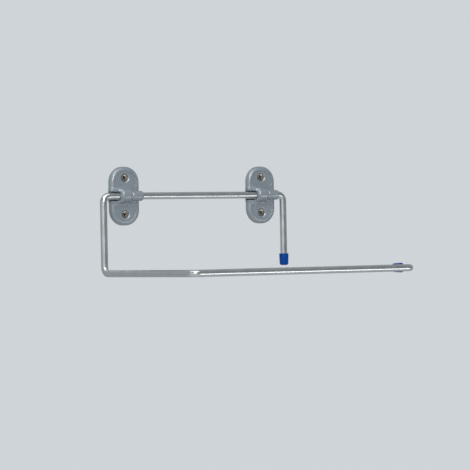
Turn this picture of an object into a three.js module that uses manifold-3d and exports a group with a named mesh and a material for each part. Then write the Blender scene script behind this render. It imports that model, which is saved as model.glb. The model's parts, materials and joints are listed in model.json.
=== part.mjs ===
// Wall-mounted paper towel holder: one bent metal rod that pivots in two moulded wall brackets.
// Millimetres, +Z up. The wall is the plane Y = 0 and the holder stands out from it towards -Y.
// The origin is on the wall plane, midway between the brackets and level with the pivot axis.

import * as THREE from 'three';
import { mergeVertices } from 'three/addons/utils/BufferGeometryUtils.js';
import Module from 'manifold-3d';

const wasm = await Module();
wasm.setup();

// ---------------------------------------------------------------- driving dimensions

const rodDiameter = 7;          // drawn steel rod
const bendRadius = 6.5;         // centreline radius of every bend
const armSpacing = 216;         // between the axes of the two arms
const bracketSpacing = 164;     // between the centres of the two brackets
const armDrop = 76.5;           // pivot axis down to the roll bar
const stopDrop = 72.5;          // pivot axis down to the tip of the right arm's cap
const barReach = 165;           // wall to the roll bar's axis
const barOverhang = 43;         // roll bar's end beyond the right arm
const hookLength = 30;          // roll bar's axis to the tip of the rod, back towards the wall
const clearance = 0.3;          // gap between separate pieces that touch or run on each other

const capWall = 1;              // vinyl end caps
const capEndWall = 1.8;
const capLength = 12;
const capTaper = 0.3;           // radius lost between the open rim and the closed end
const capEndRounding = 2;

const plateWidth = 33.8;        // bracket plate along the rod
const plateHeight = 58.4;
const plateThickness = 5.5;
const plateCornerRadius = 15.5;
const edgeRounding = 4.2;       // rounded front edge of the plate
const pocketDepth = 1;          // shallow pockets around the screws
const pocketInset = 4.4;        // rim left around the pockets
const bandHeight = 20;          // raised band across the middle
const coreDepth = 2.8;          // hollows moulded into the back
const coreWall = 2.2;
const coreBandHeight = 18.4;    // solid band left across the back
const barrelRadius = 7.6;       // barrel over the rod, its ends measured from the bracket's centre
const barrelLeft = -8;
const barrelRight = 3.4;
const mouthRounding = 3.5;      // rounded left end of the barrel
const sleeveRadius = 5.05;      // tubular sleeve on the bracket's right
const sleeveEnd = 19;           // bracket centre to the sleeve's mouth
const sleeveChamfer = 1.6;
const notchTop = 4.4;           // open slot on the bracket's left: its walls above and below the rod's axis
const notchBottom = 5;
const notchFloor = 2.6;         // ledges left between the slot and the wall, beside the rod
const lipRise = 0.4;            // lips beside the slot: height at the plate's edge
const lipPeak = 4.2;            // and where they run into the barrel

const screwDiameter = 4;        // countersunk wood screws
const screwLength = 25;
const screwHeadRadius = 3.6;
const screwHeadLand = 0.35;
const screwSpacing = 36.2;      // between the two screws of a bracket
const screwSink = 0.9;          // head below the pocket floor
const wellFlare = 1.2;          // the countersink's mouth is this much wider than the head's seat
const screwTipLength = 5;
const screwShoulder = 1;        // cone between the tip and the shank
const screwCoreRadius = 1.45;
const recessWidth = 0.95;       // cross recess
const recessSpan = 4.4;
const recessDepth = 1.7;

const roundSegments = 24;       // facets around each round shape
const archSegments = 24;        // facets over each half circle along the rod
const cornerSegments = 16;      // facets on each corner of the plate's outline
const edgeSegments = 4;         // facets across the plate's rounded front edge
const bendSegments = 7;         // facets along each bend of the rod
const margin = 1;               // how far a cutting shape reaches past what it cuts

// ---------------------------------------------------------------- worked-out places

const rodRadius = rodDiameter / 2;
const capRadius = rodRadius + clearance + capWall;
const pivotOffset = capRadius + clearance;      // wall to the pivot axis: the arm's cap rests on the wall
const channelRadius = rodRadius + clearance;
const armX = armSpacing / 2;
const bracketX = bracketSpacing / 2;
const barEndX = armX + barOverhang;
const hookTipY = -barReach + hookLength;
const lipEnd = barrelLeft + mouthRounding;
const pocketFloor = plateThickness - pocketDepth;
const headTop = pocketFloor - screwSink;

// ---------------------------------------------------------------- materials

const steel = new THREE.MeshStandardMaterial({ color: 0xa9adae, roughness: 0.32, metalness: 0.9 });
const greyPlastic = new THREE.MeshStandardMaterial({ color: 0x8b9199, roughness: 0.45, metalness: 0 });
const blueVinyl = new THREE.MeshStandardMaterial({ color: 0x0a3f96, roughness: 0.4, metalness: 0 });
const screwSteel = new THREE.MeshStandardMaterial({ color: 0xb9b2a2, roughness: 0.3, metalness: 1 });

// ---------------------------------------------------------------- solids and meshes

/** A closed three.js geometry as a manifold solid. */
function solidOf(geometry) {
  const bare = geometry.index ? geometry.toNonIndexed() : geometry.clone();
  bare.deleteAttribute('normal');
  bare.deleteAttribute('uv');
  const merged = mergeVertices(bare, 1e-4);
  return new wasm.Manifold(new wasm.Mesh({
    numProp: 3,
    vertProperties: new Float32Array(merged.attributes.position.array),
    triVerts: new Uint32Array(merged.index.array),
  }));
}

/** A manifold solid as a three.js geometry. */
function geometryOf(solid) {
  const { vertProperties, triVerts } = solid.getMesh();
  const geometry = new THREE.BufferGeometry();
  geometry.setAttribute('position', new THREE.BufferAttribute(new Float32Array(vertProperties), 3));
  geometry.setIndex(new THREE.BufferAttribute(new Uint32Array(triVerts), 1));
  geometry.computeVertexNormals();
  return geometry;
}

function namedMesh(name, geometry, material) {
  const mesh = new THREE.Mesh(geometry, material);
  mesh.name = name;
  return mesh;
}

function points2D(pairs) {
  return pairs.map(([x, y]) => new THREE.Vector2(x, y));
}

// ---------------------------------------------------------------- bent rod

/** Straight runs between corner points, with an arc of the same radius at each inner corner. */
class BentRodCurve extends THREE.Curve {
  constructor(corners, radius, segmentsPerBend) {
    super();
    this.stations = [];
    const last = corners.length - 1;
    corners.forEach((corner, i) => {
      const before = i > 0 ? corner.clone().sub(corners[i - 1]).normalize() : null;
      const after = i < last ? corners[i + 1].clone().sub(corner).normalize() : null;
      if (!before || !after) {
        this.stations.push({ point: corner.clone(), tangent: (before ?? after).clone() });
        return;
      }
      this.addBend(corner, before, after, radius, segmentsPerBend);
    });
  }

  addBend(corner, before, after, radius, segments) {
    const turn = before.angleTo(after);
    const setback = radius * Math.tan(turn / 2);
    const inward = after.clone().addScaledVector(before, -after.dot(before)).normalize();
    const start = corner.clone().addScaledVector(before, -setback);
    for (let k = 0; k <= segments; k += 1) {
      const angle = (turn * k) / segments;
      const point = start.clone()
        .addScaledVector(before, radius * Math.sin(angle))
        .addScaledVector(inward, radius * (1 - Math.cos(angle)));
      const tangent = before.clone().multiplyScalar(Math.cos(angle)).addScaledVector(inward, Math.sin(angle));
      this.stations.push({ point, tangent });
    }
  }

  get steps() {
    return this.stations.length - 1;
  }

  stationAt(u) {
    return this.stations[Math.round(u * this.steps)];
  }

  getPointAt(u, target = new THREE.Vector3()) {
    return target.copy(this.stationAt(u).point);
  }

  getTangentAt(u, target = new THREE.Vector3()) {
    return target.copy(this.stationAt(u).tangent);
  }
}

/** Corner points of the rod, from the tip under the right arm's cap to the tip of the hook. */
function rodCorners() {
  const armTipZ = -stopDrop + capEndWall + clearance;
  return [
    new THREE.Vector3(armX, -pivotOffset, armTipZ),
    new THREE.Vector3(armX, -pivotOffset, 0),
    new THREE.Vector3(-armX, -pivotOffset, 0),
    new THREE.Vector3(-armX, -pivotOffset, -armDrop),
    new THREE.Vector3(-armX, -barReach, -armDrop),
    new THREE.Vector3(barEndX, -barReach, -armDrop),
    new THREE.Vector3(barEndX, hookTipY - capEndWall - clearance, -armDrop),
  ];
}

function wireFrame() {
  const curve = new BentRodCurve(rodCorners(), bendRadius, bendSegments);
  const section = new THREE.Shape().absarc(0, 0, rodRadius, 0, 2 * Math.PI, false);
  const geometry = new THREE.ExtrudeGeometry(section, {
    curveSegments: roundSegments / 2,       // three.js gives an arc twice this many sides
    steps: curve.steps,
    extrudePath: curve,
  });
  return namedMesh('wire_frame', geometry, steel);
}

// ---------------------------------------------------------------- end caps

/** Cup with its closed end at the origin and its mouth towards +Y. */
function capGeometry() {
  const bore = rodRadius + clearance;
  const closedRadius = capRadius - capTaper;
  const outline = new THREE.Path();
  outline.moveTo(0, 0);
  outline.lineTo(closedRadius - capEndRounding, 0);
  outline.absarc(closedRadius - capEndRounding, capEndRounding, capEndRounding, -Math.PI / 2, 0, false);
  outline.lineTo(capRadius, capLength);
  outline.lineTo(bore, capLength);
  outline.lineTo(bore, capEndWall);
  outline.lineTo(0, capEndWall);
  return new THREE.LatheGeometry(outline.getPoints(4), roundSegments);
}

function armEndCap() {
  const cap = namedMesh('arm_end_cap', capGeometry(), blueVinyl);
  cap.rotation.x = Math.PI / 2;
  cap.position.set(armX, -pivotOffset, -stopDrop);
  return cap;
}

function barEndCap() {
  const cap = namedMesh('bar_end_cap', capGeometry(), blueVinyl);
  cap.rotation.x = Math.PI;
  cap.position.set(barEndX, hookTipY, -armDrop);
  return cap;
}

// ---------------------------------------------------------------- wall brackets
// A bracket is drawn in its own frame: x along the rod, y up and z out from the wall.

/** Rectangle with rounded corners, centred on the origin. */
function roundedOutline(width, height, radius) {
  const x = width / 2 - radius;
  const y = height / 2 - radius;
  const shape = new THREE.Shape();
  shape.absarc(x, y, radius, 0, Math.PI / 2, false);
  shape.absarc(-x, y, radius, Math.PI / 2, Math.PI, false);
  shape.absarc(-x, -y, radius, Math.PI, 1.5 * Math.PI, false);
  shape.absarc(x, -y, radius, 1.5 * Math.PI, 2 * Math.PI, false);
  shape.closePath();
  return shape;
}

function insetOutline(inset) {
  return roundedOutline(plateWidth - 2 * inset, plateHeight - 2 * inset, plateCornerRadius - inset);
}

/** Outline in x and y, extruded from one height above the wall to another. */
function slab(shape, from, to) {
  const geometry = new THREE.ExtrudeGeometry(shape, {
    depth: to - from,
    bevelEnabled: false,
    curveSegments: cornerSegments / 2,
  });
  return solidOf(geometry.translate(0, 0, from));
}

/** Box between two corners. */
function block([x0, y0, z0], [x1, y1, z1]) {
  const geometry = new THREE.BoxGeometry(x1 - x0, y1 - y0, z1 - z0);
  return solidOf(geometry.translate((x0 + x1) / 2, (y0 + y1) / 2, (z0 + z1) / 2));
}

/** Outline in y and z, extruded along the rod. */
function alongRod(shape, from, to) {
  const geometry = new THREE.ExtrudeGeometry(shape, {
    depth: to - from,
    bevelEnabled: false,
    curveSegments: archSegments / 2,
  });
  const turn = new THREE.Matrix4().makeBasis(
    new THREE.Vector3(0, 1, 0),
    new THREE.Vector3(0, 0, 1),
    new THREE.Vector3(1, 0, 0),
  );
  return solidOf(geometry.applyMatrix4(turn).translate(from, 0, 0));
}

/** Upright walls from below the wall plane, closed by a half circle about the pivot axis. */
function archOutline(radius, bottom) {
  const shape = new THREE.Shape();
  shape.moveTo(radius, bottom);
  shape.lineTo(radius, pivotOffset);
  shape.absarc(0, pivotOffset, radius, 0, Math.PI, false);
  shape.lineTo(-radius, bottom);
  shape.closePath();
  return shape;
}

/** Plate whose front edge is rounded, built with the extrusion's own bevel. */
function plateSolid() {
  const geometry = new THREE.ExtrudeGeometry(insetOutline(edgeRounding), {
    depth: plateThickness - edgeRounding,
    bevelEnabled: true,
    bevelThickness: edgeRounding,
    bevelSize: edgeRounding,
    bevelSegments: edgeSegments,
    curveSegments: cornerSegments / 2,
  });
  const inFrontOfWall = block([-plateWidth, -plateHeight, 0], [plateWidth, plateHeight, 2 * plateThickness]);
  return solidOf(geometry).intersect(inFrontOfWall);
}

/** Shallow D-shaped pockets above and below the raised band. */
function screwPockets() {
  const floorToFront = slab(insetOutline(pocketInset), pocketFloor, plateThickness + margin);
  const band = block([-plateWidth, -bandHeight / 2, 0], [plateWidth, bandHeight / 2, 2 * plateThickness]);
  return floorToFront.subtract(band);
}

/** Hollows in the back, left and right of each screw, with a boss and a rib between them. */
function backCores() {
  const below = -2 * margin;
  const above = coreDepth + margin;
  const hollow = slab(insetOutline(coreWall), -margin, coreDepth);
  const band = block([-plateWidth, -coreBandHeight / 2, below], [plateWidth, coreBandHeight / 2, above]);
  const rib = block([-coreWall / 2, -plateHeight, below], [coreWall / 2, plateHeight, above]);
  let cores = hollow.subtract(band).subtract(rib);
  const bossRadius = screwHeadRadius + clearance + coreWall / 2;
  for (const side of [1, -1]) {
    const circle = new THREE.Shape().absarc(0, (side * screwSpacing) / 2, bossRadius, 0, 2 * Math.PI, false);
    cores = cores.subtract(slab(circle, below, above));
  }
  return cores;
}

/** Profile of (radius, place along the rod) points turned about the pivot axis, in front of the wall. */
function turnedOnPivot(profile) {
  const geometry = new THREE.LatheGeometry(profile, 2 * archSegments);
  const whole = solidOf(geometry.rotateZ(-Math.PI / 2).translate(0, 0, pivotOffset));
  return whole.intersect(block([-plateWidth, -plateHeight, 0], [plateWidth, plateHeight, plateHeight]));
}

/** Sleeve around the rod on the bracket's right, chamfered at its mouth. */
function sleeveSolid() {
  return turnedOnPivot(points2D([
    [0, 0],
    [sleeveRadius, 0],
    [sleeveRadius, sleeveEnd - sleeveChamfer],
    [sleeveRadius - sleeveChamfer / 2, sleeveEnd],
    [0, sleeveEnd],
  ]));
}

/** Barrel over the rod, rounded at its left end. */
function barrelSolid() {
  const shoulder = barrelRadius - mouthRounding;
  const outline = new THREE.Path();
  outline.moveTo(0, barrelLeft);
  outline.lineTo(shoulder, barrelLeft);
  outline.absarc(shoulder, lipEnd, mouthRounding, -Math.PI / 2, 0, false);
  outline.lineTo(barrelRadius, barrelRight);
  outline.lineTo(0, barrelRight);
  return turnedOnPivot(outline.getPoints(edgeSegments));
}

/** Lips beside the open slot: they rise from the plate's left edge and run into the barrel. */
function lipsSolid() {
  const left = -plateWidth / 2;
  const top = pivotOffset + barrelRadius + margin;
  const ridge = turnedOnPivot(points2D([
    [0, left],
    [barrelRadius, left],
    [barrelRadius, lipEnd],
    [0, lipEnd],
  ]));
  const ramp = new THREE.Shape(points2D([
    [left - margin, plateThickness + lipRise],
    [lipEnd + margin, plateThickness + lipPeak],
    [lipEnd + margin, top],
    [left - margin, top],
  ]));
  const scoop = new THREE.ExtrudeGeometry(ramp, { depth: 4 * barrelRadius, bevelEnabled: false });
  scoop.translate(0, 0, -2 * barrelRadius).rotateX(Math.PI / 2);
  return ridge.subtract(solidOf(scoop));
}

/** Clearance for one screw: bore, countersink, the head's seat and the flared well above it. */
function screwHole(y) {
  const bore = screwDiameter / 2 + clearance;
  const mouth = screwHeadRadius + clearance;
  const landBottom = headTop - screwHeadLand - clearance * (Math.SQRT2 - 1);
  const coneBottom = landBottom - (mouth - bore);
  const wellRadius = mouth + wellFlare;
  const profile = points2D([
    [0, -margin],
    [bore, -margin],
    [bore, coneBottom],
    [mouth, landBottom],
    [mouth, headTop],
    [wellRadius, pocketFloor],
    [wellRadius, plateThickness + margin],
    [0, plateThickness + margin],
  ]);
  const geometry = new THREE.LatheGeometry(profile, roundSegments).rotateX(Math.PI / 2);
  return solidOf(geometry.translate(0, y, 0));
}

/** The channel is open to the wall, so the bent rod is laid in from behind before the screws go in. */
function bracketGeometry() {
  const left = -plateWidth / 2;
  let solid = plateSolid().subtract(screwPockets());
  solid = solid.add(lipsSolid()).add(barrelSolid()).add(sleeveSolid());
  const channel = alongRod(archOutline(channelRadius, -margin), left - margin, sleeveEnd + margin);
  const notch = block(
    [left - margin, -notchBottom, notchFloor],
    [barrelLeft, notchTop, pivotOffset + barrelRadius + margin],
  );
  solid = solid.subtract(channel).subtract(notch).subtract(backCores());
  for (const side of [1, -1]) {
    solid = solid.subtract(screwHole((side * screwSpacing) / 2));
  }
  return geometryOf(solid);
}

/** Turns a bracket's own frame into the holder's: its z points away from the wall, towards -Y. */
function bracketGroup(side, x) {
  const group = new THREE.Group();
  group.position.set(x, 0, 0);
  group.rotation.x = Math.PI / 2;
  group.add(namedMesh(`${side}_bracket`, bracketGeometry(), greyPlastic));
  for (const [place, sign] of [['upper', 1], ['lower', -1]]) {
    const screw = namedMesh(`${side}_${place}_screw`, screwGeometry(), screwSteel);
    screw.position.set(0, (sign * screwSpacing) / 2, headTop);
    group.add(screw);
  }
  return group;
}

// ---------------------------------------------------------------- screws

/** Countersunk screw with a cross recess: the head's top at z = 0 and the tip towards -z. */
function screwGeometry() {
  const shank = screwDiameter / 2;
  const coneEnd = screwHeadLand + screwHeadRadius - shank;
  const profile = points2D([
    [0, -screwLength],
    [screwCoreRadius, screwTipLength - screwLength],
    [shank, screwTipLength + screwShoulder - screwLength],
    [shank, -coneEnd],
    [screwHeadRadius, -screwHeadLand],
    [screwHeadRadius, 0],
    [0, 0],
  ]);
  const body = solidOf(new THREE.LatheGeometry(profile, roundSegments).rotateX(Math.PI / 2));
  const half = recessSpan / 2;
  const slot = recessWidth / 2;
  const recess = block([-half, -slot, -recessDepth], [half, slot, margin])
    .add(block([-slot, -half, -recessDepth], [slot, half, margin]));
  return geometryOf(body.subtract(recess));
}

// ---------------------------------------------------------------- assembly

const holder = new THREE.Group();
holder.add(bracketGroup('left', -bracketX), bracketGroup('right', bracketX));
holder.add(wireFrame(), armEndCap(), barEndCap());

export default holder;
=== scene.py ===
"""Looks of the wall-mounted paper towel holder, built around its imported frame.

Lengths inside the shape functions are millimetres; mesh_object turns them into metres. The camera, the
lights and the textures' attributes are in metres.
"""

import json
import math

import bpy
import numpy as np
from mathutils import Matrix, Vector


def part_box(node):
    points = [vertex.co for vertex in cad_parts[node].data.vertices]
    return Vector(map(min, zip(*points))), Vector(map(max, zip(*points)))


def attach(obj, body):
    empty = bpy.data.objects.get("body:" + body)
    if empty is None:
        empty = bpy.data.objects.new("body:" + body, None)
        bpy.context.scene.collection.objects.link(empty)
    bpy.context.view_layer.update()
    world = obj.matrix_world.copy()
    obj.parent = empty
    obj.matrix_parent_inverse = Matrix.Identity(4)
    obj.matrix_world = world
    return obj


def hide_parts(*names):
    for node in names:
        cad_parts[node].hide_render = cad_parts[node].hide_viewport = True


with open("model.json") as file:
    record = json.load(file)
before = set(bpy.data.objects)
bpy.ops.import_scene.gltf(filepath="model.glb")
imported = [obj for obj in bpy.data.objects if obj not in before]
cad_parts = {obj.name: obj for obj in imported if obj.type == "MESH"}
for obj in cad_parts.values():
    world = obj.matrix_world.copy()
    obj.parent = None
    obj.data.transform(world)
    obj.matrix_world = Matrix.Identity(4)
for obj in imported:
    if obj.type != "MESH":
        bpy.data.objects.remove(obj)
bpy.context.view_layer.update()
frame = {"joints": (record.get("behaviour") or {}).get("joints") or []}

MM = 0.001
MICRON = 0.000001

# ------------------------------------------------------------------ sizes, from the frame


def box_mm(node):
    """Lowest and highest corner of a CAD node, in millimetres."""
    low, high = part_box(node)
    return np.array(low) / MM, np.array(high) / MM


ROD_LOW, ROD_HIGH = box_mm("wire_frame")
ARM_CAP_LOW, ARM_CAP_HIGH = box_mm("arm_end_cap")
_, BAR_CAP_HIGH = box_mm("bar_end_cap")
BRACKET_LOW, BRACKET_HIGH = box_mm("left_bracket")
SCREW_LOW, SCREW_HIGH = box_mm("left_upper_screw")

PIVOT_Y = frame["joints"][0]["pos_m"][1] / MM
PIVOT_OFFSET = -PIVOT_Y                     # wall to the pivot axis
ROD_RADIUS = ROD_HIGH[2]                    # the pivot axis is at z = 0
LEFT_ARM_X = ROD_LOW[0] + ROD_RADIUS
RIGHT_ARM_X = (ARM_CAP_LOW[0] + ARM_CAP_HIGH[0]) / 2
BAR_END_X = ROD_HIGH[0] - ROD_RADIUS
BAR_Y = ROD_LOW[1] + ROD_RADIUS
BAR_Z = ROD_LOW[2] + ROD_RADIUS
CAP_RADIUS = (ARM_CAP_HIGH[0] - ARM_CAP_LOW[0]) / 2
CAP_LENGTH = ARM_CAP_HIGH[2] - ARM_CAP_LOW[2]
PLATE_HEIGHT = BRACKET_HIGH[2] - BRACKET_LOW[2]
BARREL_RADIUS = -BRACKET_LOW[1] - PIVOT_OFFSET
SCREW_HEAD_RADIUS = (SCREW_HIGH[0] - SCREW_LOW[0]) / 2
SCREW_HEAD_TOP = -SCREW_LOW[1]              # distance of the head's top from the wall
SCREW_LENGTH = SCREW_HIGH[1] - SCREW_LOW[1]

# ------------------------------------------------------------------ sizes that the boxes don't give

BEND_RADIUS = 6.5                           # centreline radius of the rod's bends
ROD_TIP_CHAMFER = 0.6
ROD_TIP_GAP = 0.3                           # between a tip of the rod and its cap's end wall

CAP_END_WALL = 1.8
CAP_ROUNDING = 2.0                          # round the closed end
CAP_TAPER = 0.25                            # radius lost between the mouth and the closed end
CAP_BORE_GAP = 0.04
BEAD_PROUD = 0.05                           # the rolled bead stands this far off the cap's flank
BEAD_RADIUS = 0.55
BEAD_LENGTH = 1.7
CAP_MOUTH_CHAMFER = 0.25
CENTRE_HOLE = 0.02                          # turned shapes end this close to their axis

PLATE_WIDTH = 33.8
PLATE_THICKNESS = 5.5
PLATE_CORNER = 15.5
EDGE_ROUNDING = 4.2                         # front edge of the plate
POCKET_DEPTH = 1.0                          # D-shaped pockets around the screws
POCKET_INSET = 4.4
BAND_HEIGHT = 20.0                          # raised band between the pockets
BRACKET_X = BRACKET_LOW[0] + PLATE_WIDTH / 2        # the left bracket's centre

BARREL_LIFT = 0.4                           # the barrel's middle is this much above the rod's
BARREL_LEFT = -8.0
BARREL_RIGHT = 3.4
MOUTH_ROUNDING = 3.5                        # rounded left end of the barrel
SLEEVE_RADIUS = 5.05
SLEEVE_END = BRACKET_HIGH[0] - BRACKET_X
SLEEVE_ROUNDING = 1.6
NECK_RADIUS = 4.5                           # shallow neck between the barrel and the sleeve's shoulder
SHOULDER_LEFT = 6.2                         # left end of the sleeve
SHOULDER_ROUNDING = 1.2
CHANNEL_RADIUS = ROD_RADIUS + 0.1

NOTCH_TOP = 4.4                             # walls of the open slot above and below the pivot axis
NOTCH_BOTTOM = 5.0
NOTCH_FLOOR = 2.6                           # ledges of the slot above the wall, beside the rod's channel
LIP_END = BARREL_LEFT + MOUTH_ROUNDING
LIP_RISE = 0.7                              # lips above the plate, at its left edge
LIP_PEAK = 4.2                              # and where they meet the barrel
LIP_CURVE = 1.6                             # power of the lips' rise: 1 is a straight ramp
LIP_SLOPE = 0.3                             # fall of the lips away from the slot
SLOT_SHADE_DEPTH = 1.0                           # painted shade darkening the slot is full this far below the lips
SLOT_SHADE_EDGE = 0.3                            # and fades out over this much beside the slot

CORE_DEPTH = 2.8                            # hollows in the bracket's back
CORE_WALL = 2.2
CORE_BAND = 18.4
NET_STEP = 0.4                              # grid of the bracket's surface mesh

SCREW_SPACING = 36.2
SCREW_RADIUS = 2.0
SCREW_LAND = 0.35                           # straight rim of the head
PLAIN_SHANK = 3.0                           # from the head's cone to the thread
SCREW_GAP = 0.3                             # around the shank
SEAT_GAP = 0.12                             # under the head
CONE_DEPTH = SCREW_HEAD_RADIUS - SCREW_RADIUS       # the head's cone slopes 45 degrees
WELL_FLARE = 1.2                            # the countersink's mouth is this much wider than its seat
THREAD_PITCH = 1.8
THREAD_ROWS = 10                            # rings of vertices on each turn of the thread
THREAD_START = -SCREW_LAND - CONE_DEPTH - PLAIN_SHANK
THREAD_CORE = 1.3
THREAD_RIDGE = 0.68
RIDGE_SHARE = 0.28                          # half the ridge's width, as a share of the pitch
SCREW_TIP_LENGTH = 6.0


# ------------------------------------------------------------------ mesh helpers


def mesh_object(name, vertices_mm, faces, material, smooth=True):
    """A mesh object in metres from vertices in millimetres."""
    mesh = bpy.data.meshes.new(name)
    mesh.from_pydata((np.asarray(vertices_mm) * MM).tolist(), [], [list(map(int, f)) for f in faces])
    mesh.validate()
    mesh.polygons.foreach_set("use_smooth", [smooth] * len(mesh.polygons))
    mesh.materials.append(material)
    mesh.update()
    obj = bpy.data.objects.new(name, mesh)
    bpy.context.scene.collection.objects.link(obj)
    return obj


def vector_attribute(obj, name, values):
    """Stores one vector on each vertex, for a material to read."""
    attribute = obj.data.attributes.new(name, "FLOAT_VECTOR", "POINT")
    attribute.data.foreach_set("vector", np.asarray(values, np.float32).ravel())


def ring_faces(rings, sides):
    """Quads between successive rings of vertices, with a polygon over the first and the last ring."""
    faces = []
    for start in range(0, (rings - 1) * sides, sides):
        following = start + sides
        for k in range(sides):
            n = (k + 1) % sides
            faces.append((start + k, start + n, following + n, following + k))
    faces.append(tuple(range(sides))[::-1])
    faces.append(tuple(range((rings - 1) * sides, rings * sides)))
    return faces


def sharp_by_angle(obj, degrees):
    """Smooth shading with crisp creases above an angle."""
    with bpy.context.temp_override(object=obj, active_object=obj, selected_objects=[obj]):
        bpy.ops.object.shade_smooth_by_angle(angle=math.radians(degrees))


# ------------------------------------------------------------------ distance fields
# A solid is a function that gives the signed distance, in millimetres, of points: x runs along the pivot
# rod from the middle of the plate, y up from the rod, and z out of the wall.


def rounded_rectangle(x, y, width, height, radius):
    """A rectangle about the origin with rounded corners, endless along z."""
    qx = np.abs(x) - width / 2 + radius
    qy = np.abs(y) - height / 2 + radius
    outside = np.hypot(np.maximum(qx, 0), np.maximum(qy, 0))
    return outside + np.minimum(np.maximum(qx, qy), 0) - radius


def common(a, b, radius):
    """Where both solids are, with the edge between them rounded."""
    edge = np.hypot(np.maximum(radius + a, 0), np.maximum(radius + b, 0))
    return np.minimum(-radius, np.maximum(a, b)) + edge


def joined(a, b, radius):
    """Both solids, with a fillet between them."""
    return -common(-a, -b, radius)


def without(a, b, radius):
    """The first solid less the second, with the edge rounded."""
    return common(a, -b, radius)


def arch(y, z, radius):
    """A tunnel open to the wall: two level sides closed by a half circle about the pivot axis."""
    return np.hypot(y, np.maximum(z - PIVOT_OFFSET, 0)) - radius


def screw_hole(x, y, z):
    """Bore, countersink, seat and flared well of both screws."""
    bore = SCREW_RADIUS + SCREW_GAP
    cone_bottom = SCREW_HEAD_TOP - SCREW_LAND - SEAT_GAP - CONE_DEPTH
    flare_rise = PLATE_THICKNESS - POCKET_DEPTH - SCREW_HEAD_TOP
    flare = np.clip((z - SCREW_HEAD_TOP) / flare_rise, 0, 1) * WELL_FLARE
    radius = bore + np.clip(z - cone_bottom, 0, CONE_DEPTH) + flare
    steepness = 0.8                         # keeps the sloping walls' field close to a true distance
    return (np.hypot(x, np.abs(y) - SCREW_SPACING / 2) - radius) * steepness


def plate_outline(x, y, inset=0.0):
    """The plate's oblong, or a smaller one inside it."""
    width = PLATE_WIDTH - 2 * inset
    height = PLATE_HEIGHT - 2 * inset
    return rounded_rectangle(x, y, width, height, PLATE_CORNER - inset)


def back_cores(x, y, z):
    """Hollows moulded into the back, around the screw bosses and ribs."""
    outline = common(plate_outline(x, y, CORE_WALL), CORE_BAND / 2 - np.abs(y), 1.0)
    outline = common(outline, CORE_WALL / 2 - np.abs(x), 0.6)
    boss_radius = SCREW_HEAD_RADIUS + SCREW_GAP + CORE_WALL / 2
    outline = common(outline, boss_radius - np.hypot(x, np.abs(y) - SCREW_SPACING / 2), 0.6)
    return common(outline, z - CORE_DEPTH, 0.5)


def screw_pockets(x, y, z):
    """The shallow pockets above and below the raised band."""
    outline = common(plate_outline(x, y, POCKET_INSET), BAND_HEIGHT / 2 - np.abs(y), 1.2)
    return common(outline, PLATE_THICKNESS - POCKET_DEPTH - z, 0.5)


def lip_top(x, y):
    """Height of the lips above the wall: they rise to the barrel in a curve and fall away from the slot."""
    left = -PLATE_WIDTH / 2
    share = np.clip((x - left) / (LIP_END - left), 0, 1) ** LIP_CURVE
    away = np.maximum(np.abs(y) - NOTCH_TOP, 0)
    return PLATE_THICKNESS + LIP_RISE + (LIP_PEAK - LIP_RISE) * share - LIP_SLOPE * away


def barrel_flanks(y, z):
    """The barrel's cross section, which the lips share: the top is the solid's, the underside higher."""
    return arch(y - BARREL_LIFT, z, BARREL_RADIUS - BARREL_LIFT)


def lips(x, y, z):
    """The barrel's flanks run on to the left beside the slot and fall towards the plate's edge."""
    flank = common(barrel_flanks(y, z), z - lip_top(x, y), 0.9)
    return common(common(flank, plate_outline(x, y), 1.0), x - LIP_END, 0.3)


def barrel(x, y, z):
    """The wide part over the rod, with a well rounded left end."""
    right_rounded = common(barrel_flanks(y, z), x - BARREL_RIGHT, 1.3)
    return common(right_rounded, BARREL_LEFT - x, MOUTH_ROUNDING)


def neck(x, y, z):
    """Runs from inside the barrel to inside the sleeve."""
    around = np.hypot(y, z - PIVOT_OFFSET) - NECK_RADIUS
    return common(around, np.abs(x) - SHOULDER_LEFT - SHOULDER_ROUNDING, 0.5)


def sleeve(x, y, z):
    """The thinner part over the rod, from its rounded shoulder to the bracket's right end."""
    around = np.hypot(y, z - PIVOT_OFFSET) - SLEEVE_RADIUS
    right_rounded = common(around, x - SLEEVE_END, SLEEVE_ROUNDING)
    return common(right_rounded, SHOULDER_LEFT - x, SHOULDER_ROUNDING)


def beside_slot(y):
    """Distance above or below the open slot's walls, negative inside it."""
    return np.maximum(y - NOTCH_TOP, -NOTCH_BOTTOM - y)


def open_slot(x, y, z):
    """The slot left of the barrel, in which the rod is seen."""
    return common(common(beside_slot(y), x - BARREL_LEFT, 1.4), NOTCH_FLOOR - z, 0.5)


def bracket(x, y, z):
    """The whole moulding. The last number of each step is the radius of the edge or fillet it leaves."""
    solid = common(plate_outline(x, y), z - PLATE_THICKNESS, EDGE_ROUNDING)
    solid = without(solid, screw_pockets(x, y, z), 0.45)
    solid = joined(solid, lips(x, y, z), 1.5)
    solid = joined(solid, barrel(x, y, z), 1.4)
    solid = joined(solid, neck(x, y, z), 0.8)
    solid = joined(solid, sleeve(x, y, z), 0.5)
    solid = common(solid, -z, 0.25)
    solid = without(solid, arch(y, z, CHANNEL_RADIUS), 0.35)
    softer_below = 0.4 + 0.5 * np.clip(-y / NOTCH_BOTTOM, 0, 1)
    solid = without(solid, open_slot(x, y, z), softer_below)
    solid = without(solid, screw_hole(x, y, z), 0.3)
    return without(solid, back_cores(x, y, z), 0.35)


def slot_painted_shade(x, y, z):
    """Share of painted shade at a point, which darkens the slot's deep gap: full on the walls and the
    ledges of the open slot.
    """
    depth = np.clip((lip_top(x, y) - z) / SLOT_SHADE_DEPTH, 0, 1)
    nearness = np.clip(1 - beside_slot(y) / SLOT_SHADE_EDGE, 0, 1)
    clear_of_barrel = x < BARREL_LEFT - 0.2
    clear_of_back = z > 0.2
    return depth * nearness * clear_of_barrel * clear_of_back


# ------------------------------------------------------------------ surface of a distance field


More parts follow.
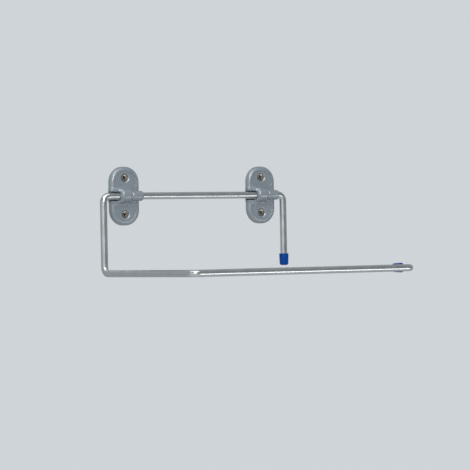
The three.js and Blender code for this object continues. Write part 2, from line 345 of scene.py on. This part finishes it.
def cell_corners(values):
    """The eight corner values of every cell, by corner offset."""
    nx, ny, nz = (n - 1 for n in values.shape)
    return {
        (i, j, k): values[i : i + nx, j : j + ny, k : k + nz]
        for i in (0, 1) for j in (0, 1) for k in (0, 1)
    }


def net_vertices(values):
    """A vertex in each cell that the surface crosses: its place in cells, and each cell's vertex number."""
    corners = cell_corners(values)
    shape = corners[0, 0, 0].shape
    total = np.zeros(shape + (3,))
    count = np.zeros(shape)
    for start in corners:
        for axis in range(3):
            if start[axis]:
                continue
            end = tuple(c + (i == axis) for i, c in enumerate(start))
            a, b = corners[start], corners[end]
            crosses = (a < 0) != (b < 0)
            share = np.where(crosses, a / np.where(crosses, a - b, 1), 0)
            place = np.zeros(shape + (3,)) + np.array(start, float)
            place[..., axis] += share
            total += place * crosses[..., None]
            count += crosses
    active = count > 0
    numbers = np.full(shape, -1)
    numbers[active] = np.arange(active.sum())
    places = total[active] / count[active][:, None] + np.argwhere(active)
    return places, numbers


def net_faces(values, numbers):
    """A quad across each grid edge that the surface crosses, facing outwards."""
    inside = values < 0
    faces = []
    for axis in range(3):
        one, two = [a for a in range(3) if a != axis]
        low = np.moveaxis(inside, axis, 0)[:-1]
        high = np.moveaxis(inside, axis, 0)[1:]
        crossing = np.argwhere(np.moveaxis(low != high, 0, axis))
        crossing = crossing[(crossing[:, one] > 0) & (crossing[:, two] > 0)]
        limit = np.array(numbers.shape)
        crossing = crossing[(crossing < limit).all(1)]
        step_one, step_two = np.eye(3, dtype=int)[one], np.eye(3, dtype=int)[two]
        ring = [crossing, crossing - step_one, crossing - step_one - step_two, crossing - step_two]
        quads = np.stack([numbers[tuple(cell.T)] for cell in ring], 1)
        leaving = inside[tuple(crossing.T)]
        flip = leaving if axis == 1 else ~leaving       # about Y the ring runs the other way round
        quads[flip] = quads[flip][:, ::-1]
        faces.append(quads)
    return np.concatenate(faces)


def slope_of(field, points, reach):
    """Gradient of a distance field at each point, by central differences."""
    return np.stack([
        (field(*(points + d).T) - field(*(points - d).T)) / (2 * reach) for d in np.eye(3) * reach
    ], 1)


def surface_mesh(field, low, high, step, rounds=4):
    """Vertices, quads and outward normals of the surface where field is zero.

    A net laid through the grid cells that the surface crosses is drawn onto it by a few Newton steps.
    """
    axes = [np.arange(a - 2 * step, b + 2.5 * step, step) for a, b in zip(low, high)]
    values = field(*np.meshgrid(*axes, indexing="ij"))
    places, numbers = net_vertices(values)
    faces = net_faces(values, numbers)
    points = places * step + np.array([a[0] for a in axes])
    reach = step / 20
    least_slope_squared = 0.25              # where the field is flat, a point isn't thrown far
    for _ in range(rounds):
        slope = slope_of(field, points, reach)
        slope_squared = np.maximum((slope**2).sum(1), least_slope_squared)
        shift = np.clip(field(*points.T) / slope_squared, -step / 2, step / 2)
        points -= slope * shift[:, None]
    normals = slope_of(field, points, reach)
    normals /= np.maximum(np.linalg.norm(normals, axis=1), 1e-6)[:, None]
    return points, faces, normals


# ------------------------------------------------------------------ bent rod


def rod_corners():
    """Corner points of the rod's axis, from the tip in the arm's cap to the tip in the hook's cap."""
    arm_tip = ARM_CAP_LOW[2] + CAP_END_WALL + ROD_TIP_GAP
    hook_tip = BAR_CAP_HIGH[1] - CAP_END_WALL - ROD_TIP_GAP
    return [np.array(p, float) for p in (
        (RIGHT_ARM_X, PIVOT_Y, arm_tip),
        (RIGHT_ARM_X, PIVOT_Y, 0),
        (LEFT_ARM_X, PIVOT_Y, 0),
        (LEFT_ARM_X, PIVOT_Y, BAR_Z),
        (LEFT_ARM_X, BAR_Y, BAR_Z),
        (BAR_END_X, BAR_Y, BAR_Z),
        (BAR_END_X, hook_tip, BAR_Z),
    )]


def rod_stations(straight_step=6.0, bend_steps=18):
    """Points and tangents along the rod's axis: straight runs joined by round right-angled bends."""
    corners = rod_corners()
    points, tangents = [], []

    def run(start, end):
        length = np.linalg.norm(end - start)
        tangent = (end - start) / length
        for share in np.linspace(0, 1, max(2, round(length / straight_step)), endpoint=False):
            points.append(start + (end - start) * share)
            tangents.append(tangent)

    here = corners[0]
    for before, corner, after in zip(corners, corners[1:], corners[2:]):
        into = (corner - before) / np.linalg.norm(corner - before)
        out = (after - corner) / np.linalg.norm(after - corner)
        start = corner - into * BEND_RADIUS
        run(here, start)
        for angle in np.linspace(0, math.pi / 2, bend_steps, endpoint=False):
            offset = into * math.sin(angle) + out * (1 - math.cos(angle))
            points.append(start + BEND_RADIUS * offset)
            tangents.append(into * math.cos(angle) + out * math.sin(angle))
        here = corner + out * BEND_RADIUS
    run(here, corners[-1])
    points.append(corners[-1])
    tangents.append(tangents[-1])
    return np.array(points), np.array(tangents)


def bent_rod(material, sides=40):
    """The rod: a round section carried along its axis without twist, tapered towards its tips."""
    points, tangents = rod_stations()
    normal = np.array([1.0, 0, 0])
    steps = np.linalg.norm(np.diff(points, axis=0), axis=1)
    distances = np.concatenate([[0], np.cumsum(steps)])
    angles = np.linspace(0, 2 * math.pi, sides, endpoint=False)
    radii = np.full(len(points), ROD_RADIUS)
    radii[[0, -1]] -= ROD_TIP_CHAMFER
    vertices, unrolled = [], []
    for point, tangent, radius, distance in zip(points, tangents, radii, distances):
        normal = normal - tangent * (normal @ tangent)
        normal /= np.linalg.norm(normal)
        across = np.cross(tangent, normal)
        for angle in angles:
            spoke = normal * math.cos(angle) + across * math.sin(angle)
            vertices.append(point + radius * spoke)
            unrolled.append((math.cos(angle) * ROD_RADIUS, math.sin(angle) * ROD_RADIUS, distance))
    rod = mesh_object("bent_rod", vertices, ring_faces(len(points), sides), material)
    vector_attribute(rod, "along_rod", np.array(unrolled) * MM)
    sharp_by_angle(rod, 40)
    return rod


# ------------------------------------------------------------------ caps and screws


def turned(profile, sides):
    """Vertices of a profile of (radius, height) pairs turned about the third axis."""
    angles = np.linspace(0, 2 * math.pi, sides, endpoint=False)
    return np.array([(r * math.cos(a), r * math.sin(a), h) for r, h in profile for a in angles])


def arc(centre, radius, start, end, steps):
    """Points of a circular arc between two angles in degrees."""
    angles = np.radians(np.linspace(start, end, steps))
    return [(centre[0] + radius * math.cos(a), centre[1] + radius * math.sin(a)) for a in angles]


def cap_profile():
    """Outside of the closed end, up the flank to a rolled mouth, and down the bore."""
    flank = CAP_RADIUS - BEAD_PROUD
    shoulder = flank - CAP_TAPER - CAP_ROUNDING
    bore = ROD_RADIUS + CAP_BORE_GAP
    profile = [(CENTRE_HOLE, 0.0)]
    profile += arc((shoulder, CAP_ROUNDING), CAP_ROUNDING, -90, 0, 9)
    profile += [(flank, CAP_LENGTH - BEAD_LENGTH - 0.5), (flank + 0.02, CAP_LENGTH - BEAD_LENGTH)]
    profile += arc((CAP_RADIUS - BEAD_RADIUS, CAP_LENGTH - BEAD_RADIUS), BEAD_RADIUS, 0, 90, 6)
    profile += [(bore + CAP_MOUTH_CHAMFER, CAP_LENGTH), (bore, CAP_LENGTH - CAP_MOUTH_CHAMFER)]
    profile += [(bore, CAP_END_WALL), (CENTRE_HOLE, CAP_END_WALL)]
    return profile


def end_cap(name, material, place, sides=48):
    """A soft cap; place turns and moves points drawn with the closed end at the origin, mouth up."""
    profile = cap_profile()
    vertices = turned(profile, sides)
    cap = mesh_object(name, place(vertices), ring_faces(len(profile), sides), material)
    vector_attribute(cap, "cap_place", vertices * MM)
    sharp_by_angle(cap, 60)
    return cap


# A screw's rings are (radius, height) pairs from the bottom of its cross recess to its tip. A radius is
# a number or one number for each angle, and heights are below the head's top.


def recess_outline(angles):
    """Radius of a cross recess by angle: four arms with round ends and filleted inner corners."""
    half_width, reach, inner_corner = 0.5, 2.1, 0.75
    from_arm = np.abs((angles + math.pi / 4) % (math.pi / 2) - math.pi / 4)
    flank = half_width / np.maximum(np.sin(from_arm), 0.12)
    return np.minimum(np.maximum(flank, inner_corner), reach)


def recess_rings(angles):
    """The walls of the cross recess, which narrow towards its bottom."""
    cross = recess_outline(angles)
    return [(0.05, -1.9), (cross * 0.35, -1.75), (cross * 0.72, -1.0), (cross * 0.98, -0.62)]


def head_rings(angles):
    """From the recess's rounded edge over the dished top and its rim, and down the cone to the shank."""
    cross = recess_outline(angles)
    rim = SCREW_HEAD_RADIUS
    cone_end = -SCREW_LAND - CONE_DEPTH
    return [
        (cross * 1.06, -0.52),
        (np.maximum(cross * 1.12, 2.35), -0.46),
        (rim - 0.75, -0.30),
        (rim - 0.22, -0.03),
        (rim - 0.10, 0.0),
        (rim - 0.02, -0.06),
        (rim, -0.14),
        (rim, -SCREW_LAND),
        (SCREW_RADIUS + 0.35, cone_end + 0.4),
        (SCREW_RADIUS - 0.2, cone_end - 0.2),
        (SCREW_RADIUS - 0.3, THREAD_START + 0.6),
    ]


def thread_rings(angles):
    """A ridge that climbs one pitch in each turn, fading in at the shank and tapering to the tip."""
    rows = int((SCREW_LENGTH + THREAD_START) / THREAD_PITCH * THREAD_ROWS)
    rings = []
    for height in np.linspace(THREAD_START, 0.05 - SCREW_LENGTH, rows):
        taper = min(1.0, (height + SCREW_LENGTH) / SCREW_TIP_LENGTH)
        fade = min(1.0, (THREAD_START - height) / THREAD_PITCH)
        phase = (angles / (2 * math.pi) - height / THREAD_PITCH) % 1.0
        ridge = np.clip(1 - np.abs(phase - 0.5) / RIDGE_SHARE, 0, 1)
        rings.append((taper * (THREAD_CORE + THREAD_RIDGE * ridge * fade), height))
    return rings + [(CENTRE_HOLE, -SCREW_LENGTH)]


def screw(name, material, centre_x, centre_z, turn, sides=48):
    """Countersunk wood screw with a cross recess and a cut thread, its axis along Y."""
    angles = np.linspace(0, 2 * math.pi, sides, endpoint=False)
    recess = recess_rings(angles)
    rings = recess + head_rings(angles) + thread_rings(angles)
    vertices = np.concatenate([
        np.stack(np.broadcast_arrays(r * np.cos(angles), r * np.sin(angles), height), 1)
        for r, height in rings
    ])
    cos, sin = math.cos(turn), math.sin(turn)
    drawn = vertices @ np.array([[cos, -sin, 0], [sin, cos, 0], [0, 0, 1]]).T
    placed = np.stack([centre_x + drawn[:, 0], -SCREW_HEAD_TOP - drawn[:, 2], centre_z + drawn[:, 1]], 1)
    piece = mesh_object(name, placed, ring_faces(len(rings), sides), material)
    vector_attribute(piece, "screw_place", vertices * MM)
    # Rings of the cross recess get painted shade in the material.
    in_recess = np.arange(len(rings)) < len(recess)
    vector_attribute(piece, "recess_painted_shade", np.repeat(in_recess, 3 * sides))
    sharp_by_angle(piece, 35)
    return piece


# ------------------------------------------------------------------ materials


class Nodes:
    """Short way to add and link the nodes of one material."""

    def __init__(self, name):
        self.material = bpy.data.materials.new(name)
        self.material.use_nodes = True
        self.tree = self.material.node_tree
        self.shader = self.tree.nodes["Principled BSDF"]

    def add(self, kind, **settings):
        node = self.tree.nodes.new(kind)
        for key, value in settings.items():
            if key in node.inputs:
                node.inputs[key].default_value = value
            else:
                setattr(node, key, value)
        return node

    def link(self, source, target):
        self.tree.links.new(source, target)

    def attribute(self, name):
        return self.add("ShaderNodeAttribute", attribute_name=name).outputs["Vector"]

    def stretched(self, vector, scale):
        mapping = self.add("ShaderNodeMapping")
        mapping.inputs["Scale"].default_value = scale
        self.link(vector, mapping.inputs["Vector"])
        return mapping.outputs["Vector"]

    def noise(self, vector, scale, detail=3.0, roughness=0.5):
        node = self.add("ShaderNodeTexNoise", Scale=scale, Detail=detail, Roughness=roughness)
        self.link(vector, node.inputs["Vector"])
        return node.outputs["Fac"]

    def ramp(self, factor, low, high, low_colour, high_colour):
        node = self.add("ShaderNodeValToRGB")
        node.color_ramp.elements[0].position = low
        node.color_ramp.elements[1].position = high
        node.color_ramp.elements[0].color = (*low_colour, 1)
        node.color_ramp.elements[1].color = (*high_colour, 1)
        self.link(factor, node.inputs["Fac"])
        return node.outputs["Color"]

    def spread(self, factor, low, high):
        """Stretches a texture's middle range over low to high."""
        node = self.add("ShaderNodeMapRange")
        node.inputs["From Min"].default_value = 0.3
        node.inputs["From Max"].default_value = 0.7
        node.inputs["To Min"].default_value = low
        node.inputs["To Max"].default_value = high
        self.link(factor, node.inputs["Value"])
        return node.outputs["Result"]

    def bump(self, height, distance, strength):
        node = self.add("ShaderNodeBump", Strength=strength, Distance=distance)
        self.link(height, node.inputs["Height"])
        return node.outputs["Normal"]

    def product(self, one, other):
        """Two colours multiplied."""
        node = self.add("ShaderNodeVectorMath", operation="MULTIPLY")
        self.link(one, node.inputs[0])
        self.link(other, node.inputs[1])
        return node.outputs["Vector"]

    def object_place(self):
        return self.add("ShaderNodeTexCoord").outputs["Object"]


def drawn_steel():
    """Bright drawn rod: fine drawing lines along it and cloudy plating."""
    n = Nodes("drawn_steel")
    along = n.attribute("along_rod")
    lines = n.noise(n.stretched(along, (1, 1, 0.012)), 3600, 3)
    clouds = n.noise(along, 90, 3)
    colour = n.ramp(clouds, 0.3, 0.75, (0.535, 0.572, 0.582), (0.61, 0.65, 0.66))
    n.link(colour, n.shader.inputs["Base Color"])
    n.link(n.spread(clouds, 0.18, 0.25), n.shader.inputs["Roughness"])
    n.link(n.bump(lines, 3 * MICRON, 0.5), n.shader.inputs["Normal"])
    n.shader.inputs["Metallic"].default_value = 1.0
    return n.material


def grey_moulding():
    """Satin grey plastic: fine spark-eroded texture, slight colour flow, scuffs, and painted shade that
    darkens the slot.
    """
    n = Nodes("grey_moulding")
    place = n.object_place()
    flow = n.noise(n.stretched(place, (1, 1, 0.4)), 60, 3)
    grain = n.noise(place, 2600, 2)
    scuffs = n.noise(n.stretched(place, (1, 1, 0.15)), 900, 5, 0.7)
    colour = n.ramp(flow, 0.3, 0.7, (0.178, 0.214, 0.246), (0.206, 0.244, 0.278))
    # Painted shade: the base colour darkens nearly to black on the slot's walls and ledges.
    painted_slot_shade = n.ramp(n.attribute("painted_slot_shade"), 0, 1, (1, 1, 1), (0.05, 0.05, 0.05))
    n.link(n.product(colour, painted_slot_shade), n.shader.inputs["Base Color"])
    n.link(n.spread(scuffs, 0.26, 0.30), n.shader.inputs["Roughness"])
    n.link(n.bump(grain, 1.5 * MICRON, 0.5), n.shader.inputs["Normal"])
    n.shader.inputs["IOR"].default_value = 2.0
    return n.material


def blue_vinyl():
    """Soft dipped vinyl: deep blue, a faint skin texture and a satin gloss."""
    n = Nodes("blue_vinyl")
    place = n.attribute("cap_place")
    tone = n.noise(place, 220, 3)
    skin = n.noise(place, 1900, 3)
    colour = n.ramp(tone, 0.3, 0.7, (0.0004, 0.040, 0.21), (0.001, 0.058, 0.29))
    n.link(colour, n.shader.inputs["Base Color"])
    n.link(n.spread(skin, 0.30, 0.42), n.shader.inputs["Roughness"])
    n.link(n.bump(skin, 10 * MICRON, 0.5), n.shader.inputs["Normal"])
    n.shader.inputs["Specular IOR Level"].default_value = 0.1
    return n.material


def screw_steel():
    """Yellow-passivated screw steel with turning marks on the head, and painted shade that darkens the
    cross recess.
    """
    n = Nodes("screw_steel")
    place = n.attribute("screw_place")
    square = n.add("ShaderNodeVectorMath", operation="MULTIPLY")
    square.inputs[1].default_value = (1, 1, 0)
    n.link(place, square.inputs[0])
    radius = n.add("ShaderNodeVectorMath", operation="LENGTH")
    n.link(square.outputs["Vector"], radius.inputs[0])
    rings = n.add("ShaderNodeTexNoise", Scale=9000.0, Detail=2.0, noise_dimensions="1D")
    n.link(radius.outputs["Value"], rings.inputs["W"])
    tone = n.noise(place, 420, 3)
    colour = n.ramp(tone, 0.3, 0.7, (0.25, 0.235, 0.20), (0.38, 0.36, 0.315))
    # Painted shade: the cross recess's base colour darkens nearly to black.
    depth = n.ramp(n.attribute("recess_painted_shade"), 0, 1, (1, 1, 1), (0.04, 0.04, 0.04))
    n.link(n.product(colour, depth), n.shader.inputs["Base Color"])
    n.link(n.spread(tone, 0.18, 0.32), n.shader.inputs["Roughness"])
    n.link(n.bump(rings.outputs["Fac"], 20 * MICRON, 0.4), n.shader.inputs["Normal"])
    n.shader.inputs["Metallic"].default_value = 1.0
    return n.material


def floor_paint():
    """Matt pale grey with faint clouds."""
    n = Nodes("floor_paint")
    cloud = n.noise(n.object_place(), 0.7, 2)
    colour = n.ramp(cloud, 0.3, 0.7, (0.66, 0.67, 0.68), (0.69, 0.70, 0.71))
    n.link(colour, n.shader.inputs["Base Color"])
    n.shader.inputs["Roughness"].default_value = 0.8
    return n.material


# ------------------------------------------------------------------ assembly


def out_of_wall(vectors):
    """Turns vectors from the bracket's own axes (along the rod, up, out of the wall) to the frame's."""
    return np.stack([vectors[:, 0], -vectors[:, 2], vectors[:, 1]], 1)


def build_brackets(material):
    """Both brackets are the same moulding, so they share one surface."""
    low = (-PLATE_WIDTH / 2, -PLATE_HEIGHT / 2, 0)
    high = (SLEEVE_END, PLATE_HEIGHT / 2, PIVOT_OFFSET + BARREL_RADIUS)
    points, faces, normals = surface_mesh(bracket, low, high, NET_STEP)
    for side, centre in (("left", BRACKET_X), ("right", -BRACKET_X)):
        placed = np.array([centre, 0, 0]) + out_of_wall(points)
        piece = mesh_object(f"{side}_moulded_bracket", placed, faces, material)
        piece.data.normals_split_custom_set_from_vertices(out_of_wall(normals).tolist())
        # The slot's painted shade, stored on each vertex.
        vector_attribute(piece, "painted_slot_shade", np.repeat(slot_painted_shade(*points.T), 3))
        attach(piece, "wall_brackets")
        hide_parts(f"{side}_bracket")


def build_screws(material):
    """Each screw's recess is turned by its own angle, in radians."""
    turns = {"left_upper": 0.5, "left_lower": 1.1, "right_upper": 0.2, "right_lower": 0.85}
    for name, turn in turns.items():
        side, level = name.split("_")
        x = BRACKET_X if side == "left" else -BRACKET_X
        z = SCREW_SPACING / 2 * (1 if level == "upper" else -1)
        piece = screw(f"{name}_wood_screw", material, x, z, turn)
        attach(piece, "wall_brackets")
        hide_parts(f"{name}_screw")


def build_rod_and_caps(steel, vinyl):
    rod = bent_rod(steel)
    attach(rod, "rod_frame")
    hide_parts("wire_frame")

    def below_arm(v):
        return np.stack([RIGHT_ARM_X + v[:, 0], PIVOT_Y + v[:, 1], ARM_CAP_LOW[2] + v[:, 2]], 1)

    def behind_bar(v):
        return np.stack([BAR_END_X + v[:, 0], BAR_CAP_HIGH[1] - v[:, 2], BAR_Z + v[:, 1]], 1)

    for name, node, place in (
        ("arm_vinyl_cap", "arm_end_cap", below_arm),
        ("bar_vinyl_cap", "bar_end_cap", behind_bar),
    ):
        cap = end_cap(name, vinyl, place)
        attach(cap, "rod_frame")
        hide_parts(node)


# ------------------------------------------------------------------ camera, floor and light

YAW = math.radians(-34)
PITCH = math.radians(-0.12)
ROLL = math.radians(-1.13)
TARGET = Vector((0.0083, -0.0636, -0.0408))         # the middle of the picture
DISTANCE = 2.7066
SENSOR = 36.0
FOCAL_IN_WIDTHS = 5.803                             # focal length in picture widths
FAR_CLIP = 100
BACKDROP = (0.62, 0.66, 0.69)                       # the surround as the camera sees it
ROOM_FRONT = 0.30                                   # the room's grey in front of the holder
ROOM_BEHIND = 0.46
ROOM_TINT = (0.96, 1.0, 1.03)


def camera_axes():
    """The camera's right, up and back directions."""
    back = Vector((math.sin(YAW) * math.cos(PITCH), -math.cos(YAW) * math.cos(PITCH), math.sin(PITCH)))
    right = Vector((0, 0, 1)).cross(back).normalized()
    up = back.cross(right)
    rolled_right = right * math.cos(ROLL) + up * math.sin(ROLL)
    rolled_up = up * math.cos(ROLL) - right * math.sin(ROLL)
    return rolled_right, rolled_up, back


def add_camera():
    right, up, back = camera_axes()
    data = bpy.data.cameras.new("camera")
    data.sensor_width = SENSOR
    data.lens = SENSOR * FOCAL_IN_WIDTHS
    data.clip_end = FAR_CLIP
    camera = bpy.data.objects.new("camera", data)
    matrix = Matrix((right, up, back)).transposed().to_4x4()
    matrix.translation = TARGET + back * DISTANCE
    camera.matrix_world = matrix
    bpy.context.scene.collection.objects.link(camera)
    bpy.context.scene.camera = camera


def add_floor(height=-850, radius=2600, sides=96):
    """A round floor, small enough to stay out of the main view. Its sizes are millimetres."""
    angles = np.linspace(0, 2 * math.pi, sides, endpoint=False)
    rim = [(radius * math.cos(a), radius * math.sin(a), height) for a in angles]
    floor = mesh_object("floor", rim, [tuple(range(sides))], floor_paint(), smooth=False)


def direction(azimuth, elevation):
    """Unit vector towards a place in the room: azimuth from -Y, positive towards +X."""
    a, e = math.radians(azimuth), math.radians(elevation)
    return Vector((math.sin(a) * math.cos(e), -math.cos(a) * math.cos(e), math.sin(e)))


def panel_light(name, azimuth, elevation, distance, size, brightness, colour=(1, 1, 1)):
    """A rectangular soft light facing the holder. Its power follows from its brightness and its size."""
    data = bpy.data.lights.new(name, "AREA")
    data.shape = "RECTANGLE"
    data.size, data.size_y = size
    data.energy = brightness * math.pi * data.size * data.size_y
    data.color = colour
    light = bpy.data.objects.new(name, data)
    light.location = direction(azimuth, elevation) * distance
    light.rotation_euler = direction(azimuth, elevation).to_track_quat("Z", "Y").to_euler()
    light.visible_camera = False
    bpy.context.scene.collection.objects.link(light)


def add_lights():
    """A tall narrow key, a wide light overhead, a low strip on the right and a dim fill on the left."""
    panel_light("key", -30, 30, 2.4, size=(0.7, 1.9), brightness=7.5, colour=(1.0, 0.99, 0.97))
    panel_light("overhead", -40, 68, 2.0, size=(3.0, 1.2), brightness=1.4)
    panel_light("low_strip", 34, -23, 1.5, size=(0.9, 0.28), brightness=3.0)
    panel_light("left_fill", -56, 0, 2.0, size=(2.8, 1.4), brightness=0.42, colour=(0.96, 0.99, 1.0))


def room_colour(tree):
    """Grey that gets lighter from the front of the room to the back."""
    place = tree.nodes.new("ShaderNodeSeparateXYZ")
    tree.links.new(tree.nodes.new("ShaderNodeTexCoord").outputs["Generated"], place.inputs["Vector"])
    depth = tree.nodes.new("ShaderNodeMapRange")
    depth.inputs["From Min"].default_value = -1
    tree.links.new(place.outputs["Y"], depth.inputs["Value"])
    ramp = tree.nodes.new("ShaderNodeValToRGB")
    ends = ((0.1, ROOM_FRONT), (0.8, ROOM_BEHIND))
    for element, (position, grey) in zip(ramp.color_ramp.elements, ends):
        element.position = position
        element.color = (*(tint * grey for tint in ROOM_TINT), 1)
    tree.links.new(depth.outputs["Result"], ramp.inputs["Fac"])
    return ramp.outputs["Color"]


def add_world():
    """A pale surround; reflections and light come from a dimmer room, brighter behind the holder."""
    world = bpy.data.worlds.new("studio")
    world.use_nodes = True
    tree = world.node_tree
    seen = tree.nodes["Background"]
    seen.inputs["Color"].default_value = (*BACKDROP, 1)
    room = tree.nodes.new("ShaderNodeBackground")
    tree.links.new(room_colour(tree), room.inputs["Color"])
    path = tree.nodes.new("ShaderNodeLightPath")
    mix = tree.nodes.new("ShaderNodeMixShader")
    tree.links.new(path.outputs["Is Camera Ray"], mix.inputs["Fac"])
    tree.links.new(room.outputs["Background"], mix.inputs[1])
    tree.links.new(seen.outputs["Background"], mix.inputs[2])
    tree.links.new(mix.outputs["Shader"], tree.nodes["World Output"].inputs["Surface"])
    bpy.context.scene.world = world


def set_colour_management():
    view = bpy.context.scene.view_settings
    view.view_transform = "Standard"
    view.look = "None"


set_colour_management()
add_camera()
add_world()
add_lights()
add_floor()
build_brackets(grey_moulding())
build_screws(screw_steel())
build_rod_and_caps(drawn_steel(), blue_vinyl())
